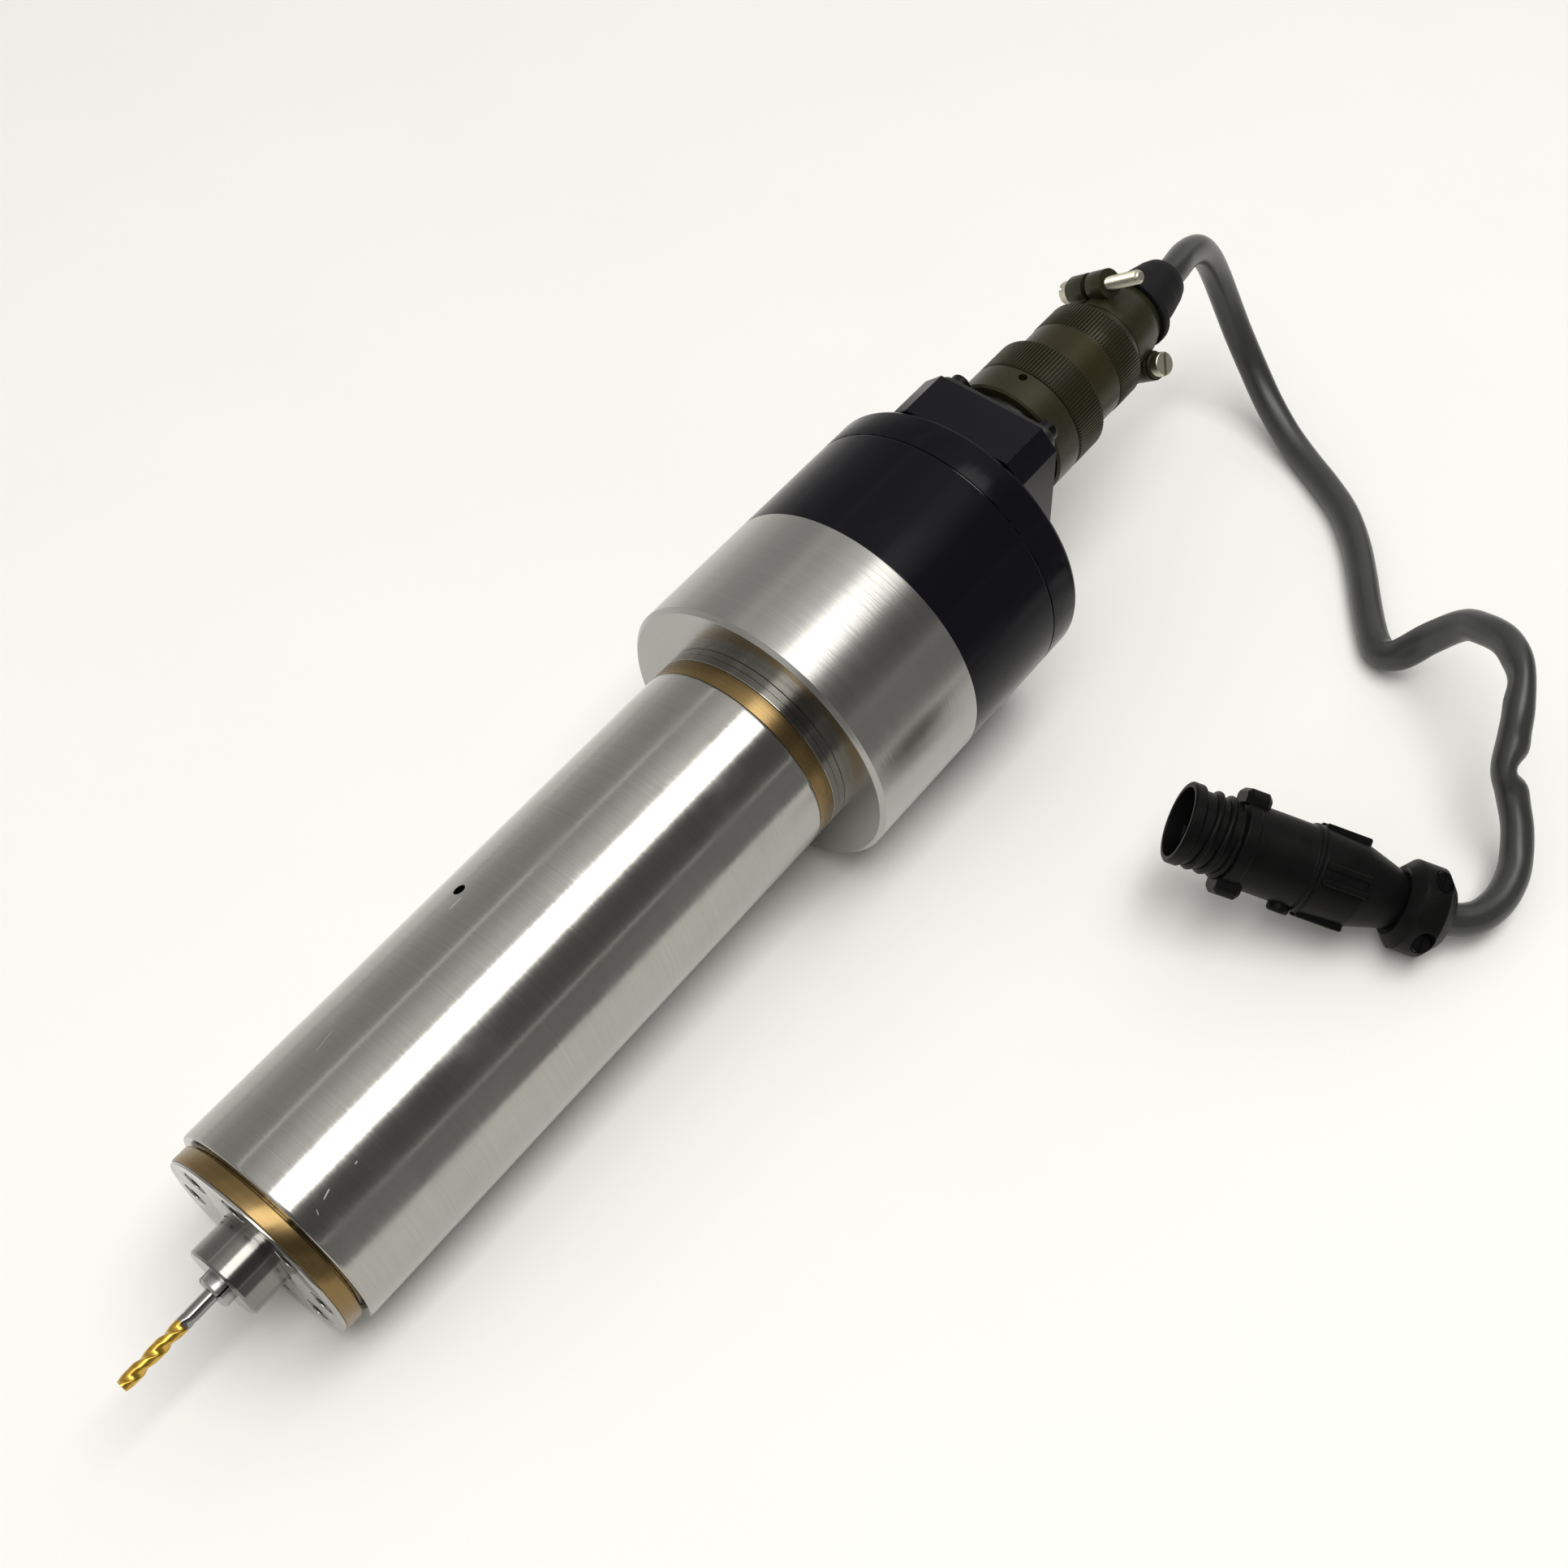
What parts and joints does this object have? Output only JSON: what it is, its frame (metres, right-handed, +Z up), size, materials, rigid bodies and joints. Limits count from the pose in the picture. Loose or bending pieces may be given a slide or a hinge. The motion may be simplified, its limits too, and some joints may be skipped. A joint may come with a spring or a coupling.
{
  "type": "air bearing spindle",
  "caption": "Cylindrical air bearing spindle with a fluted cutter in a collet, a round motor housing, a threaded connector and a lead ending in a free plug.",
  "frame": {"origin": "on the surface the spindle lies on, under the middle of the spindle, cutter tip to cable boot", "axes": "+X from the cutter towards the connector, along the surface; +Z up; the spindle axis rises 4.1 degrees towards +X"},
  "size_m": [0.3924, 0.188, 0.0822],
  "materials": {
    "ground_steel": "ground",
    "brass": "turned",
    "black_oxide": "black oxide",
    "bronze": "bored",
    "lamination": "stacked sheet",
    "cast_aluminium": "machined",
    "copper": "enamelled copper wire",
    "bright_aluminium": "satin clear anodised",
    "black_anodised": "satin black anodised",
    "spring_steel": "oiled",
    "tool_steel": "hardened",
    "gold_coating": "gold coloured coating",
    "black_plate": "black plated",
    "olive_plate": "olive cadmium look",
    "screw_plate": "plated",
    "insert_rubber": "matt",
    "black_rubber": "matt",
    "grey_pvc": "satin",
    "black_plastic": "satin"
  },
  "bodies": {
    "housing": {"body_sleeve": "ground_steel", "front_ring": "brass", "front_plate": "ground_steel", "front_screws": "black_oxide", "front_bearing": "bronze", "rear_bearing": "bronze", "bearing_spacer": "cast_aluminium", "bearing_orings": "black_rubber", "spacer_ring": "brass", "thrust_plate": "ground_steel", "thrust_screws": "black_oxide", "stator_core": "lamination", "stator_windings": "copper", "motor_housing": "bright_aluminium", "rear_housing": "black_anodised", "rear_cover": "black_anodised", "cover_screws": "black_oxide", "piston_spring": "spring_steel", "terminal_block": "black_anodised", "block_screws": "black_oxide", "receptacle": "black_plate", "receptacle_screws": "black_oxide", "receptacle_insert": "insert_rubber", "plug_barrel": "olive_plate", "plug_insert": "insert_rubber", "contacts": "gold_coating", "end_bell": "olive_plate", "clamp_saddles": "olive_plate", "clamp_screws": "screw_plate", "clamp_washers": "screw_plate", "cable_boot": "black_rubber", "cable": "grey_pvc", "free_shell": "black_plastic", "free_insert": "insert_rubber", "free_contacts": "gold_coating", "free_backshell": "black_plastic", "free_clamp": "black_plastic", "free_clamp_screws": "black_oxide"},
    "rotor": {"rotor_shaft": "ground_steel", "rotor_core": "lamination", "rotor_end_rings": "cast_aluminium", "disc_springs": "spring_steel"},
    "draw": {"drawbar": "tool_steel", "collet": "tool_steel", "cutter": "gold_coating"},
    "piston": {"release_piston": "cast_aluminium", "piston_seal": "black_rubber"},
    "coupling": {"coupling_ring": "olive_plate"}
  },
  "joints": [
    {"name": "rotor_spin", "type": "hinge", "parent": "housing", "child": "rotor", "pos_m": [-0.06587, 0, 0.03037], "axis": [0.9974, 0, 0.0723], "continuous": true},
    {"name": "drawbar_release", "type": "slide", "parent": "rotor", "child": "draw", "axis": [-0.9974, 0, -0.0723], "range_m": [0, 0.0016], "deforming": ["disc_springs"]},
    {"name": "piston_stroke", "type": "slide", "parent": "housing", "child": "piston", "axis": [-0.9974, 0, -0.0723], "range_m": [0, 0.002], "stiffness_N_per_m": 3000, "springref_m": -0.001, "deforming": ["piston_spring"]},
    {"name": "coupling_ring_turn", "type": "hinge", "parent": "housing", "child": "coupling", "pos_m": [0.11258, 0, 0.05834], "axis": [0.9974, 0, 0.0723], "range_deg": [0, 360]}
  ],
  "couplings": [
    {"joint": "drawbar_release", "follows": "piston_stroke", "ratio": 0.8}
  ]
}
